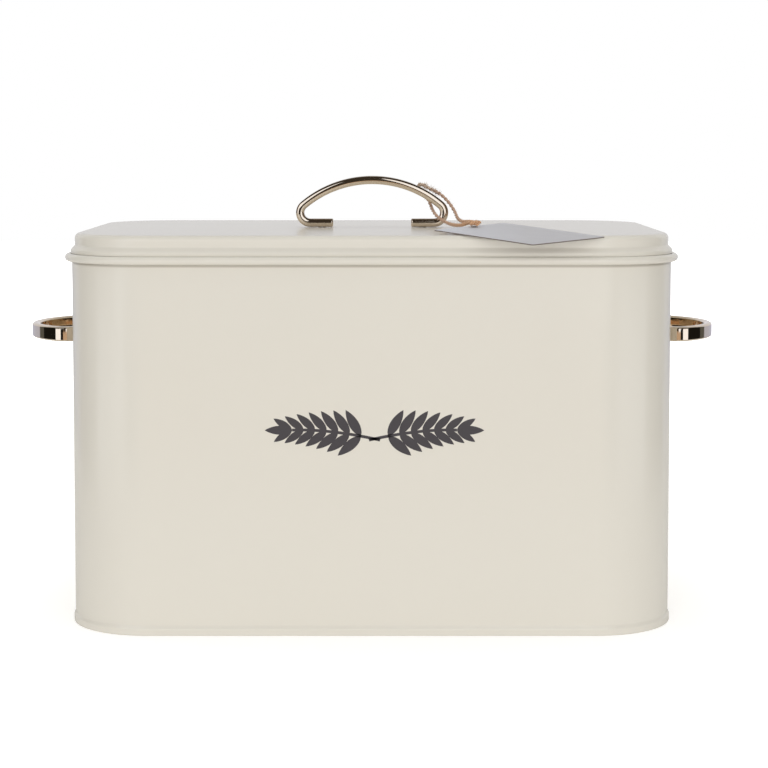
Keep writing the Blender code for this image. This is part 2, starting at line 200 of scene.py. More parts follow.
def soft_box(name, place, aim, width, height, power):
    """An area lamp that points at a spot of the bin and that neither the camera nor a gloss sees."""
    lamp = bpy.data.lights.new(name, "AREA")
    lamp.shape = "RECTANGLE"
    lamp.size = width
    lamp.size_y = height
    lamp.energy = power
    box = bpy.data.objects.new(name, lamp)
    box.location = place
    box.rotation_euler = (Vector(aim) - Vector(place)).to_track_quat("-Z", "Y").to_euler()
    box.visible_camera = False
    box.visible_glossy = False
    scene.collection.objects.link(box)


BIN_MIDDLE = (0.0, 0.0, 0.13)
LID_MIDDLE = (0.0, 0.0, 0.2)
soft_box("front_box", (0.0, -2.6, 0.48), BIN_MIDDLE, 2.6, 1.2, 31.8)
soft_box("top_box", (0.0, 0.1, 2.3), LID_MIDDLE, 2.4, 2.0, 11.5)
soft_box("back_box", (0.0, 2.6, 0.9), BIN_MIDDLE, 2.6, 1.6, 19.0)
soft_box("left_box", (-2.6, 1.4, 0.7), BIN_MIDDLE, 1.4, 1.2, 7.5)
soft_box("right_box", (2.6, 1.4, 0.7), BIN_MIDDLE, 1.4, 1.2, 5.0)

CARD_DISTANCE = 2.4
NEAR_DISTANCE = 0.62
CARD_CENTRE = 0.15
CARD_STEP = 4


def reflected_card(name, turn_from, turn_to, rise_from, rise_to, colour, distance):
    """A curved card round the bin that only glossy rays meet. Turns are degrees from the front to the right, and
    rises are degrees above the cards' centre."""
    material, pen = new_finish(name)
    light = pen.node("ShaderNodeEmission", {"Color": opaque(*colour), "Strength": 1.0})
    pen.node("ShaderNodeOutputMaterial", {"Surface": light})
    columns = max(2, round(abs(turn_to - turn_from) / CARD_STEP))
    rows = max(2, round(abs(rise_to - rise_from) / CARD_STEP))
    form = bmesh.new()
    bmesh.ops.create_grid(form, x_segments=columns, y_segments=rows, size=0.5)
    for vert in form.verts:
        turn = math.radians(turn_from + (turn_to - turn_from) * (vert.co.x + 0.5))
        rise = math.radians(rise_from + (rise_to - rise_from) * (vert.co.y + 0.5))
        across = distance * math.cos(rise)
        vert.co = (across * math.sin(turn), -across * math.cos(turn), distance * math.sin(rise) + CARD_CENTRE)
    mesh = bpy.data.meshes.new(name)
    form.to_mesh(mesh)
    form.free()
    card = link_object(name, mesh, material)
    for ray in ("camera", "diffuse", "transmission", "shadow", "volume_scatter"):
        setattr(card, "visible_" + ray, False)


LOW, HORIZON, SPLIT, SHELF, HIGH, TOP = -25, -4.2, -2.5, 8, 34, 88
WHITE = (1.25, 1.30, 1.42)
BLACK = (0.012, 0.011, 0.009)
SHADE = (0.045, 0.036, 0.028)
BROWN = (0.16, 0.12, 0.09)
TAN = (0.62, 0.45, 0.32)
EDGE_GREY = (0.11, 0.11, 0.10)
LOW_GREY = (0.54, 0.56, 0.68)
REAR_GREY = (0.74, 0.74, 0.78)
TOP_GREY = (0.5, 0.5, 0.5)
for name, turn_from, turn_to, rise_from, rise_to, colour, distance in (
    ("card_low_front", -18, 18, LOW, HORIZON, TAN, CARD_DISTANCE),
    ("card_low_shade_left", -37, -18, LOW, SPLIT, BLACK, CARD_DISTANCE),
    ("card_low_shade_right", 18, 37, LOW, SPLIT, BLACK, CARD_DISTANCE),
    ("card_low_white_left", -80, -37, LOW, SPLIT, WHITE, CARD_DISTANCE),
    ("card_low_white_right", 37, 80, LOW, SPLIT, WHITE, CARD_DISTANCE),
    ("card_front", -18, 3, HORIZON, SHELF, SHADE, CARD_DISTANCE),
    ("card_front_high", -12, 3, SHELF, HIGH, SHADE, CARD_DISTANCE),
    ("card_shelf_left", -28, -18, SPLIT, SHELF, SHADE, CARD_DISTANCE),
    ("card_white_left", -50, -28, SPLIT, SHELF, WHITE, CARD_DISTANCE),
    ("card_white_high_left", -50, -12, SHELF, HIGH, WHITE, CARD_DISTANCE),
    ("card_white_right", 3, 18, HORIZON, HIGH, WHITE, CARD_DISTANCE),
    ("card_white_far_right", 18, 28, SPLIT, HIGH, WHITE, CARD_DISTANCE),
    ("card_brown_left", -80, -50, SPLIT, HIGH, BROWN, CARD_DISTANCE),
    ("card_brown_right", 28, 80, SPLIT, HIGH, BROWN, CARD_DISTANCE),
    ("card_black_left", -108, -80, LOW, HIGH, BLACK, CARD_DISTANCE),
    ("card_black_right", 80, 108, LOW, HIGH, BLACK, CARD_DISTANCE),
    ("card_edge_left", -119, -108, LOW, HIGH, EDGE_GREY, CARD_DISTANCE),
    ("card_edge_right", 108, 119, LOW, HIGH, EDGE_GREY, CARD_DISTANCE),
    ("card_rear_low", 119, 241, LOW, SPLIT, LOW_GREY, CARD_DISTANCE),
    ("card_rear", 119, 241, SPLIT, HIGH, REAR_GREY, CARD_DISTANCE),
    ("card_top", -115, 115, HIGH, TOP, SHADE, CARD_DISTANCE),
    ("card_top_rear", 115, 245, HIGH, TOP, TOP_GREY, CARD_DISTANCE),
    ("card_near_front", -16, 3, 0, 5, SHADE, NEAR_DISTANCE),
):
    reflected_card(name, turn_from, turn_to, rise_from, rise_to, colour, distance)

# ---- Body wall ----
# One strip of 0.6 mm steel wrapped round the oblong plan and enamelled cream inside and out. Its upper edge is
# rolled outwards into the rim that the lid rests on, and its lower edge stands in the fold of the base.
PLAN_LENGTH = 332.4 * MM
PLAN_DEPTH = 207.4 * MM
PLAN_CORNER = 44.5 * MM
CORNER_STEPS = 36
SHEET = 0.6 * MM
GAP = 0.3 * MM
RIM_HEIGHT = 205.6 * MM
ROLL_RADIUS = 2.2 * MM
ROLL_TIP_ANGLE = -120
BASE_SHEET = 0.5 * MM
HANDLE_LEVEL = 157.7 * MM
SIDE_FOOT_REACH = 25.0 * MM
BORE_RADIUS = 2.2 * MM
BORE_DEPTH = 2.9 * MM
MERGE_DISTANCE = 0.000001
ENAMEL_COLOUR = opaque(0.737, 0.701, 0.623)
ENAMEL_DEEP = opaque(0.727, 0.690, 0.609)
# The colour, height and half width of a painted shade just under the rolled rim.
CREASE_SHADE_COLOUR = opaque(0.47, 0.43, 0.365)
CREASE_SHADE_HEIGHT = 200.55 * MM
CREASE_SHADE_HALF = 1.1 * MM

enamel, pen = new_finish("cream_enamel")
place = pen.node("ShaderNodeTexCoord").out("Object")
cloud = pen.node("ShaderNodeTexNoise", {"Vector": place, "Scale": 9.0, "Detail": 3.0, "Roughness": 0.5})
peel = pen.node("ShaderNodeTexNoise", {"Vector": place, "Scale": 520.0, "Detail": 1.0, "Roughness": 0.4})
ripple = pen.node("ShaderNodeTexNoise", {"Vector": place, "Scale": 22.0, "Detail": 1.0, "Roughness": 0.4})
grit = pen.node("ShaderNodeTexNoise", {"Vector": place, "Scale": 1500.0, "Detail": 1.0})
base_colour = pen.mix(cloud * 0.85 + grit * 0.15, ENAMEL_DEEP, ENAMEL_COLOUR)
height = pen.node("ShaderNodeSeparateXYZ", {"Vector": place}).out("Z")
# Painted shade: the enamel's colour is darkened in a thin band just under the rolled rim, for the rim's shadow on
# the wall.
off_crease_shade = pen.maths("ABSOLUTE", height - CREASE_SHADE_HEIGHT)
painted_crease_shade = pen.maths("SUBTRACT", 1.0, off_crease_shade / CREASE_SHADE_HALF, clamp=True)
base_colour = pen.mix(painted_crease_shade, base_colour, CREASE_SHADE_COLOUR)
gloss = 0.19 + cloud * 0.05 + grit * 0.02
dents = pen.node("ShaderNodeBump", {"Strength": 0.12, "Distance": 0.0006, "Height": ripple})
skin = pen.node("ShaderNodeBump", {"Strength": 0.10, "Distance": 0.00003, "Height": peel, "Normal": dents})
shader = pen.node(
    "ShaderNodeBsdfPrincipled",
    {"Base Color": base_colour, "Roughness": gloss, "IOR": 1.5, "Normal": skin},
)
pen.node("ShaderNodeOutputMaterial", {"Surface": shader})


def arc(centre, radius, start, end, steps):
    """Points on an arc from one angle to another, in degrees."""
    points = []
    for step in range(steps + 1):
        angle = math.radians(start + (end - start) * step / steps)
        points.append((centre[0] + radius * math.cos(angle), centre[1] + radius * math.sin(angle)))
    return points


def beside(line, distance):
    """The line moved to its left by a distance, with its bends kept parallel."""
    moved = []
    for index, point in enumerate(line):
        here = Vector(point)
        before = (here - Vector(line[index - 1])).normalized() if index else None
        after = (Vector(line[index + 1]) - here).normalized() if index < len(line) - 1 else None
        before, after = before or after, after or before
        normals = [Vector((-way.y, way.x)) for way in (before, after)]
        middle = (normals[0] + normals[1]).normalized()
        moved.append(tuple(here + middle * distance / max(middle.dot(normals[0]), 0.2)))
    return moved


def sheet_section(face, thickness, panel=None, tip=None):
    """The outline of a sheet whose body lies to the left of a face. A rounded edge, or a tip of its own, closes
    each end that has no flat panel, and the section stays open at the end that has one."""

    def edge(start, end):
        middle = (Vector(start) + Vector(end)) / 2
        first = math.degrees(math.atan2(start[1] - middle.y, start[0] - middle.x))
        return arc(middle, thickness / 2, first, first + 180, 4)[1:-1]

    other = beside(face, thickness)
    if panel == "first":
        return face + (tip or edge(face[-1], other[-1])) + other[::-1], False
    if panel == "last":
        return other[::-1] + edge(other[0], face[0]) + face, False
    return face + edge(face[-1], other[-1]) + other[::-1] + edge(other[0], face[0]), True


def line_mesh(name, points, closed):
    """A mesh of edges only through points, which have two or three coordinates."""
    mesh = bpy.data.meshes.new(name)
    count = len(points)
    edges = [(index, (index + 1) % count) for index in range(count if closed else count - 1)]
    mesh.from_pydata([tuple(point) + (0.0,) * (3 - len(point)) for point in points], edges, [])
    return mesh


def node_tree(name, inputs):
    """A Geometry Nodes tree with named inputs: a wire to build on and the wires of its inputs."""
    tree = bpy.data.node_groups.new(name, "GeometryNodeTree")
    tree.interface.new_socket("Geometry", in_out="OUTPUT", socket_type="NodeSocketGeometry")
    tree.interface.new_socket("Geometry", in_out="INPUT", socket_type="NodeSocketGeometry")
    for label, kind in inputs.items():
        tree.interface.new_socket(label, in_out="INPUT", socket_type="NodeSocket" + kind)
    entry = Wire(tree).node("NodeGroupInput")
    wires = {label: entry.out(label) for label in ("Geometry", *inputs)}
    return Wire(tree), wires


def finish_tree(pen, made, material):
    """End a tree with real geometry that carries its material."""
    real = pen.node("GeometryNodeRealizeInstances", {"Geometry": made})
    real = pen.node("GeometryNodeSetShadeSmooth", {"Geometry": real})
    painted = pen.node("GeometryNodeSetMaterial", {"Geometry": real, "Material": material})
    pen.node("NodeGroupOutput", {"Geometry": painted})


def grown(name, start, tree, values):
    """The plain mesh that a tree makes of a start mesh with these input values."""
    seed = link_object(name, start)
    modifier = seed.modifiers.new("grown", "NODES")
    modifier.node_group = tree
    for socket in tree.interface.items_tree:
        if socket.in_out == "INPUT" and socket.name in values:
            modifier[socket.identifier] = values[socket.name]
    evaluated = seed.evaluated_get(bpy.context.evaluated_depsgraph_get())
    mesh = bpy.data.meshes.new_from_object(evaluated)
    bpy.data.objects.remove(seed)
    mesh.name = name
    return mesh


def whole(mesh):
    """Merge doubles, close what is open with flat panels, and point every face outwards."""
    form = bmesh.new()
    form.from_mesh(mesh)
    bmesh.ops.remove_doubles(form, verts=form.verts, dist=MERGE_DISTANCE)
    bmesh.ops.holes_fill(form, edges=[edge for edge in form.edges if edge.is_boundary], sides=0)
    bmesh.ops.recalc_face_normals(form, faces=form.faces)
    for face in form.faces:
        face.smooth = True
    form.to_mesh(mesh)
    form.free()
    return mesh


def rod_mesh(name, place, axis, radius, back, front, sides=40):
    """A closed rod along an axis, from behind its place to ahead of it."""
    form = bmesh.new()
    bmesh.ops.create_cone(
        form, cap_ends=True, segments=sides, radius1=radius, radius2=radius, depth=back + front
    )
    mesh = bpy.data.meshes.new(name)
    form.to_mesh(mesh)
    form.free()
    turn = Vector(axis).to_track_quat("Z", "Y").to_matrix().to_4x4()
    mesh.transform(Matrix.Translation(Vector(place) + Vector(axis) * (front - back) / 2) @ turn)
    return mesh


def bored(piece, bores):
    """Cut rods out of a piece, and even out the shading of its flats and bends."""
    cutters = [link_object("bore", bore) for bore in bores]
    for cutter in cutters:
        cut = piece.modifiers.new("bore", "BOOLEAN")
        cut.operation = "DIFFERENCE"
        cut.solver = "EXACT"
        cut.object = cutter
    even = piece.modifiers.new("even", "WEIGHTED_NORMAL")
    even.keep_sharp = True
    evaluated = piece.evaluated_get(bpy.context.evaluated_depsgraph_get())
    mesh = bpy.data.meshes.new_from_object(evaluated)
    piece.modifiers.clear()
    piece.data = mesh
    for cutter in cutters:
        bpy.data.objects.remove(cutter)
    return piece


pen, given = node_tree(
    "sheet_round_the_plan",
    {"Length": "Float", "Depth": "Float", "Corner radius": "Float", "Corner steps": "Int", "Finish": "Material"},
)
plan = pen.node("GeometryNodeCurvePrimitiveQuadrilateral", {"Width": given["Length"], "Height": given["Depth"]})
plan = pen.node(
    "GeometryNodeFilletCurve",
    {"Curve": plan, "Count": given["Corner steps"], "Radius": given["Corner radius"], "Limit Radius": False},
    mode="POLY",
)
plan = pen.node("GeometryNodeSetCurveNormal", {"Curve": plan}, mode="Z_UP")
section = pen.node("GeometryNodeMeshToCurve", {"Mesh": given["Geometry"]})
section = pen.node("GeometryNodeTransform", {"Geometry": section, "Rotation": (math.pi, 0.0, 0.0)})
wrapped = pen.node("GeometryNodeCurveToMesh", {"Curve": plan, "Profile Curve": section})
finish_tree(pen, wrapped, given["Finish"])
SHEET_TREE = pen.tree


def pressed_sheet(name, face, thickness, panel=None, tip=None):
    """A sheet whose section runs round the bin's plan, from offsets outside the wall's face and heights."""
    outline, closed = sheet_section(face, thickness, panel, tip)
    values = {"Length": PLAN_LENGTH, "Depth": PLAN_DEPTH, "Corner radius": PLAN_CORNER}
    values.update({"Corner steps": CORNER_STEPS, "Finish": enamel})
    mesh = grown(name, line_mesh(name, outline, closed), SHEET_TREE, values)
    return link_object(name, whole(mesh), enamel)


roll_centre = (ROLL_RADIUS - SHEET, RIM_HEIGHT - ROLL_RADIUS)
wall_face = arc(roll_centre, ROLL_RADIUS, ROLL_TIP_ANGLE, 180, 40)
wall_face.append((-SHEET, BASE_SHEET + GAP))
body_skin = pressed_sheet("body_skin", wall_face, SHEET)

wall_bores = []
for side in (-1, 1):
    for reach in (-SIDE_FOOT_REACH, SIDE_FOOT_REACH):
        foot = (side * (PLAN_LENGTH / 2 + GAP), reach, HANDLE_LEVEL)
        wall_bores.append(rod_mesh("bore", foot, (side, 0.0, 0.0), BORE_RADIUS, BORE_DEPTH, 0.0))
bored(body_skin, wall_bores)
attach(body_skin, "root")
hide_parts("body_wall")

# ---- Base ----
# A pressed pan of 0.5 mm steel, enamelled like the wall. Its edge turns down to the table, runs under the wall
# and folds up round the wall's outside, where it shows as the bin's low foot. Enamel fills the seam above it.
BASE_RISE = 4.0 * MM
FOLD_HEIGHT = 3.4 * MM
FOLD_RADIUS = 0.6 * MM
PANEL_REACH = 14.0 * MM
SHOULDER_WIDTH = 3.0 * MM
SHOULDER_RADIUS = 1.2 * MM
SEAM_HEIGHT = 2.3 * MM
SEAM_CLEARANCE = 0.02 * MM
SEAM_STEPS = 10

pan_inner = -(SHEET + GAP + BASE_SHEET)
pan_outer = GAP + BASE_SHEET
pan_face = [(-PANEL_REACH, BASE_RISE), (pan_inner - SHOULDER_WIDTH, BASE_RISE)]
pan_face += arc((pan_inner - SHOULDER_RADIUS, BASE_RISE - SHOULDER_RADIUS), SHOULDER_RADIUS, 90, 0, 6)
pan_face += arc((pan_inner + FOLD_RADIUS, FOLD_RADIUS), FOLD_RADIUS, 180, 270, 6)
pan_face += arc((pan_outer - FOLD_RADIUS, FOLD_RADIUS), FOLD_RADIUS, 270, 360, 6)
pan_face.append((pan_outer, FOLD_HEIGHT))
seam_fill = []
for step in range(1, SEAM_STEPS + 1):
    share = step / SEAM_STEPS
    slope = 0.5 + 0.5 * math.cos(math.pi * share)
    seam_fill.append((SEAM_CLEARANCE + (pan_outer - SEAM_CLEARANCE) * slope, FOLD_HEIGHT + SEAM_HEIGHT * share))
base_skin = bored(pressed_sheet("base_skin", pan_face, BASE_SHEET, "first", seam_fill), [])
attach(base_skin, "root")
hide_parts("base_pan")

# ---- Printed ornament ----
# Two ears of wheat in charcoal, screen printed on the middle of the front. The ink stands only a few hundredths
# of a millimetre above the enamel.
INK_COLOUR = opaque(0.048, 0.042, 0.047)
INK_PALE = opaque(0.056, 0.050, 0.055)
INK_HEIGHT = 0.04 * MM
GRAIN_LENGTH = 16.4 * MM
GRAIN_WIDTH = 5.4 * MM
PRINT_LEVEL = 108.5 * MM
PRINT_SHIFT = 1.8 * MM
GRAIN_TAPER = 0.28
SPLAY_TAPER = 0.35
TIP_GRAIN = 0.9
LAST_POINT = 0.999

ink, pen = new_finish("charcoal_print")
place = pen.node("ShaderNodeTexCoord").out("Object")
grain = pen.node("ShaderNodeTexNoise", {"Vector": place, "Scale": 1600.0, "Detail": 2.0})
cloud = pen.node("ShaderNodeTexNoise", {"Vector": place, "Scale": 90.0, "Detail": 2.0})
base_colour = pen.mix(cloud, INK_COLOUR, INK_PALE)
skin = pen.node("ShaderNodeBump", {"Strength": 0.3, "Distance": 0.00002, "Height": grain})
shader = pen.node(
    "ShaderNodeBsdfPrincipled",
    {"Base Color": base_colour, "Roughness": 0.36 + grain * 0.1, "Normal": skin},
)
pen.node("ShaderNodeOutputMaterial", {"Surface": shader})


def flat_grain(name, length, width, thickness):
    """One grain of the print: a pointed leaf along +Y that stands on the origin."""
    steps = 10
    form = bmesh.new()
    edge = []
    for step in range(steps + 1):
        share = step / steps
        edge.append((width / 2 * math.sin(math.pi * share**0.85) ** 0.8, length * share))
    outline = edge + [(-x, y) for x, y in edge[-2:0:-1]]
    face = form.faces.new([form.verts.new((x, y, 0.0)) for x, y in outline])
    lid = bmesh.ops.extrude_face_region(form, geom=[face])
    raised = [item for item in lid["geom"] if isinstance(item, bmesh.types.BMVert)]
    bmesh.ops.translate(form, verts=raised, vec=(0.0, 0.0, thickness))
    bmesh.ops.recalc_face_normals(form, faces=form.faces)
    mesh = bpy.data.meshes.new(name)
    form.to_mesh(mesh)
    form.free()
    return mesh


pen, given = node_tree(
    "wheat_ear",
    {
        "Stem start": "Vector",
        "Stem bend": "Vector",
        "Stem end": "Vector",
        "Ear start": "Float",
        "Pairs": "Int",
        "Splay": "Float",
        "Stem width": "Float",
        "Ink height": "Float",
        "Finish": "Material",
    },
)
stem = pen.node(
    "GeometryNodeCurveQuadraticBezier",
    {"Resolution": 40, "Start": given["Stem start"], "Middle": given["Stem bend"], "End": given["Stem end"]},
)
stem = pen.node("GeometryNodeSetCurveNormal", {"Curve": stem}, mode="Z_UP")
ear = pen.node("GeometryNodeTrimCurve", {"Curve": stem, 2: given["Ear start"], 3: 1.0})
ear = pen.node("GeometryNodeResampleCurve", {"Curve": ear, "Count": given["Pairs"]})
along = pen.node("GeometryNodeInputTangent")
aim = pen.node("FunctionNodeAlignRotationToVector", {"Vector": along}, axis="Y", pivot_axis="Z")
share = pen.node("GeometryNodeSplineParameter")
size = 1.0 - GRAIN_TAPER * share
rows = []
for turn in (-1.0, 1.0):
    tilt = pen.node("ShaderNodeCombineXYZ", {"Z": turn * given["Splay"] * (1.0 - SPLAY_TAPER * share)})
    turned = pen.node("FunctionNodeRotateRotation", {"Rotation": aim, "Rotate By": tilt})
    grains = {"Points": ear, "Instance": given["Geometry"], "Rotation": turned, "Scale": size}
    rows.append(pen.node("GeometryNodeInstanceOnPoints", grains))
tip_only = pen.maths("GREATER_THAN", share, LAST_POINT)
grains = {"Points": ear, "Instance": given["Geometry"], "Rotation": aim, "Scale": (TIP_GRAIN,) * 3}
rows.append(pen.node("GeometryNodeInstanceOnPoints", {**grains, "Selection": tip_only}))
bar = {"Width": given["Stem width"], "Height": given["Ink height"]}
bar = pen.node("GeometryNodeCurvePrimitiveQuadrilateral", bar)
lift = pen.node("ShaderNodeCombineXYZ", {"Y": given["Ink height"] * -0.5})
bar = pen.node("GeometryNodeTransform", {"Geometry": bar, "Translation": lift})
stalk = pen.node("GeometryNodeCurveToMesh", {"Curve": stem, "Profile Curve": bar, "Fill Caps": True})
half = pen.node("GeometryNodeJoinGeometry")
for part in (*rows, stalk):
    pen.tree.links.new(part.socket, half.socket.node.inputs[0])
other = pen.node("GeometryNodeTransform", {"Geometry": half, "Scale": (-1.0, 1.0, 1.0)})
both = pen.node("GeometryNodeJoinGeometry")
for part in (half, other):
    pen.tree.links.new(part.socket, both.socket.node.inputs[0])
finish_tree(pen, both, given["Finish"])

values = {"Stem start": (-3.0 * MM, -1.6 * MM, 0.0), "Stem bend": (24.0 * MM, 4.5 * MM, 0.0)}
values.update({"Stem end": (44.3 * MM, 3.8 * MM, 0.0), "Ear start": 0.22, "Pairs": 7, "Splay": math.radians(50)})
values.update({"Stem width": 1.6 * MM, "Ink height": INK_HEIGHT, "Finish": ink})
mesh = grown("wheat_print", flat_grain("grain", GRAIN_LENGTH, GRAIN_WIDTH, INK_HEIGHT), pen.tree, values)
mesh.transform(Matrix.Rotation(math.pi / 2, 4, "X"))
mesh.transform(Matrix.Translation((PRINT_SHIFT, -PLAN_DEPTH / 2, PRINT_LEVEL)))
form = bmesh.new()
form.from_mesh(mesh)
bmesh.ops.remove_doubles(form, verts=form.verts, dist=MERGE_DISTANCE)
bmesh.ops.recalc_face_normals(form, faces=form.faces)
for face in form.faces:
    face.smooth = False
form.to_mesh(mesh)
form.free()
wheat_print = link_object("wheat_print", mesh, ink)
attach(wheat_print, "root")

# ---- Side handles ----
# Two flat bars of champagne-plated steel bent into bows, 80 mm long, one on each end of the bin. Each foot turns
# in under the bow and is screwed to the wall from inside.
BAR_WIDTH = 8.6 * MM
BAR_THICKNESS = 4.8 * MM
BAR_CROWN = 1.3 * MM
END_RADIUS = 8.3 * MM
FOOT_LENGTH = 13.4 * MM
TIP_ROUNDING = 1.0 * MM
TIP_SHARE = 0.72
SCREW_BITE = 3.3 * MM
SIDE_BOW_LENGTH = 80.0 * MM
SIDE_BOW_HEIGHT = 32.2 * MM
METAL_COLOUR = opaque(0.78, 0.675, 0.545)
METAL_WARM = opaque(0.76, 0.645, 0.505)

bar_metal, pen = new_finish("champagne_metal")
place = pen.node("ShaderNodeTexCoord").out("Object")
cloud = pen.node("ShaderNodeTexNoise", {"Vector": place, "Scale": 60.0, "Detail": 3.0})
haze = pen.node("ShaderNodeTexNoise", {"Vector": place, "Scale": 420.0, "Detail": 4.0, "Roughness": 0.7})
wave = pen.node("ShaderNodeTexNoise", {"Vector": place, "Scale": 150.0, "Detail": 1.0})
base_colour = pen.mix(cloud, METAL_WARM, METAL_COLOUR)
skin = pen.node("ShaderNodeBump", {"Strength": 0.08, "Distance": 0.00006, "Height": wave + haze * 0.1})
shader = pen.node(
    "ShaderNodeBsdfPrincipled",
    {"Base Color": base_colour, "Metallic": 1.0, "Roughness": 0.035 + haze * 0.05, "Normal": skin},
)
pen.node("ShaderNodeOutputMaterial", {"Surface": shader})

pen, given = node_tree(
    "bent_bar",
    {"Width": "Float", "Thickness": "Float", "Crown": "Float", "Tip": "Float", "Finish": "Material"},
)
path = pen.node("GeometryNodeMeshToCurve", {"Mesh": given["Geometry"]})
path = pen.node("GeometryNodeSetCurveNormal", {"Curve": path}, mode="Z_UP")
run = pen.node("GeometryNodeSplineParameter").out("Length")
total = pen.node("GeometryNodeSplineLength")
from_tip = pen.maths("MINIMUM", run, total - run)
near = 1.0 - pen.maths("MINIMUM", from_tip / given["Tip"], 1.0)
swell = TIP_SHARE + (1.0 - TIP_SHARE) * pen.maths("SQRT", pen.maths("MAXIMUM", 1.0 - near * near, 0.0))
ring = pen.node("GeometryNodeCurvePrimitiveCircle", {"Resolution": 56, "Radius": 1.0})
spot = pen.node("GeometryNodeInputPosition")
parts = pen.node("ShaderNodeSeparateXYZ", {"Vector": spot})
side = parts.out("Y")
flat = given["Width"] * 0.5 - given["Crown"]
outer = pen.node(
    "ShaderNodeCombineXYZ",
    {
        "X": parts * given["Thickness"] * 0.5,
        "Y": side * given["Crown"] + pen.maths("SIGN", pen.maths("ROUND", side * 100.0)) * flat,
    },
)
ring = pen.node("GeometryNodeSetPosition", {"Geometry": ring, "Position": outer})
bow = pen.node("GeometryNodeCurveToMesh", {"Curve": path, "Profile Curve": ring, "Scale": swell, "Fill Caps": True})
finish_tree(pen, bow, given["Finish"])
BAR_TREE = pen.tree


def bow_path(length, height):
    """The middle line of a bow handle in its own XY plane, its feet on y = 0."""
    depth = BAR_THICKNESS / 2
    end = length / 2 - END_RADIUS
    rise = height - END_RADIUS
    radius = (end**2 + rise**2 - END_RADIUS**2) / (2 * (rise - END_RADIUS))
    centre = (0.0, height - radius)
    meet = math.degrees(math.atan2(END_RADIUS - centre[1], end))
    tip = end - FOOT_LENGTH
    foot = [(tip + step * MM, depth) for step in (0.0, 0.03, 0.1, 0.22, 0.4, 0.65, 1.0, 6.0)]
    half = foot + arc((end, END_RADIUS), END_RADIUS - depth, -90, meet, 48)
    half += arc(centre, radius - depth, meet, 90, 110)[1:]
    return half + [(-x, y) for x, y in half[-2::-1]]


def bow_handle(name, length, height, place, along, outwards):
    """A bow whose feet stand at a place, with a blind bore for a screw in each foot."""
    values = {"Width": BAR_WIDTH, "Thickness": BAR_THICKNESS, "Crown": BAR_CROWN, "Tip": TIP_ROUNDING}
    values["Finish"] = bar_metal
    mesh = grown(name, line_mesh(name, bow_path(length, height), False), BAR_TREE, values)
    along, outwards = Vector(along), Vector(outwards)
    axes = Matrix((along, outwards, along.cross(outwards))).transposed().to_4x4()
    mesh.transform(Matrix.Translation(place) @ axes)
    bow = link_object(name, whole(mesh), bar_metal)
    reach = length / 2 - END_RADIUS - FOOT_LENGTH / 2
    bores = []
    for side in (-1, 1):
        seat = Vector(place) + along * side * reach
        bores.append(rod_mesh("bore", seat, outwards, BORE_RADIUS, 1.0 * MM, SCREW_BITE, 24))
    return bored(bow, bores)


for side_name, side in (("left", -1), ("right", 1)):
    seat = (side * (PLAN_LENGTH / 2 + GAP), 0.0, HANDLE_LEVEL)
    bow = bow_handle(
        f"side_bow_{side_name}", SIDE_BOW_LENGTH, SIDE_BOW_HEIGHT, seat, (0.0, 1.0, 0.0), (side, 0.0, 0.0)
    )
    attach(bow, "root")
    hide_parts(f"side_handle_{side_name}")

# ---- Screws and washers ----
# Pan-head screws and flat washers of zinc-plated steel, driven from inside the bin and the lid into the feet of
# the handles. They keep the meshes of their CAD nodes.
ZINC_COOL = opaque(0.62, 0.63, 0.66)
ZINC_PALE = opaque(0.72, 0.72, 0.72)

zinc, pen = new_finish("zinc_plate")
place = pen.node("ShaderNodeTexCoord").out("Object")
cloud = pen.node("ShaderNodeTexNoise", {"Vector": place, "Scale": 300.0, "Detail": 3.0})
haze = pen.node("ShaderNodeTexNoise", {"Vector": place, "Scale": 2600.0, "Detail": 2.0})
base_colour = pen.mix(cloud, ZINC_COOL, ZINC_PALE)
skin = pen.node("ShaderNodeBump", {"Strength": 0.4, "Distance": 0.00003, "Height": haze})
shader = pen.node(
    "ShaderNodeBsdfPrincipled",
    {"Base Color": base_colour, "Metallic": 1.0, "Roughness": 0.26 + cloud * 0.14, "Normal": skin},
)
pen.node("ShaderNodeOutputMaterial", {"Surface": shader})
for name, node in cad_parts.items():
    if "screw" in name or "washer" in name:
        for slot in node.material_slots:
            slot.material = zinc

# ---- Lid shell ----
# The lid is stamped from one sheet and enamelled like the bin: a flat top with a small rounded edge, a low wall
# that flares out at its foot, and an upright lip that stands on the rolled rim.
LIP_SEAT = RIM_HEIGHT + GAP
LID_HEIGHT = LIP_SEAT + 10.9 * MM
LID_INSET = 1.7 * MM
LID_EDGE_RADIUS = 3.0 * MM
LIP_OVERHANG = 0.7 * MM
LIP_FLARE = 3.6 * MM
LIP_EDGE = 1.2 * MM
LIP_SINK = 0.35 * MM
FLARE_STEPS = 20
LID_FOOT_REACH = 29.4 * MM

lid_face = [(LIP_OVERHANG, LIP_SEAT - LIP_SINK + SHEET / 2)]
for step in range(FLARE_STEPS + 1):
    turn = math.pi * step / FLARE_STEPS
    across = (LIP_OVERHANG - LID_INSET) / 2 + (LIP_OVERHANG + LID_INSET) / 2 * math.cos(turn)
    lid_face.append((across, LIP_SEAT + LIP_EDGE + LIP_FLARE * step / FLARE_STEPS))
edge_centre = (-LID_INSET - LID_EDGE_RADIUS, LID_HEIGHT - LID_EDGE_RADIUS)
lid_face += arc(edge_centre, LID_EDGE_RADIUS, 0, 90, 14)
lid_face += [(-PANEL_REACH, LID_HEIGHT)]
lid_skin = pressed_sheet("lid_skin", lid_face, SHEET, "last")
lid_bores = []
for reach in (-LID_FOOT_REACH, LID_FOOT_REACH):
    foot = (reach, 0.0, LID_HEIGHT + GAP)
    lid_bores.append(rod_mesh("bore", foot, (0.0, 0.0, 1.0), BORE_RADIUS, BORE_DEPTH, 0.0))
bored(lid_skin, lid_bores)
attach(lid_skin, "lid")
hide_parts("lid_shell")

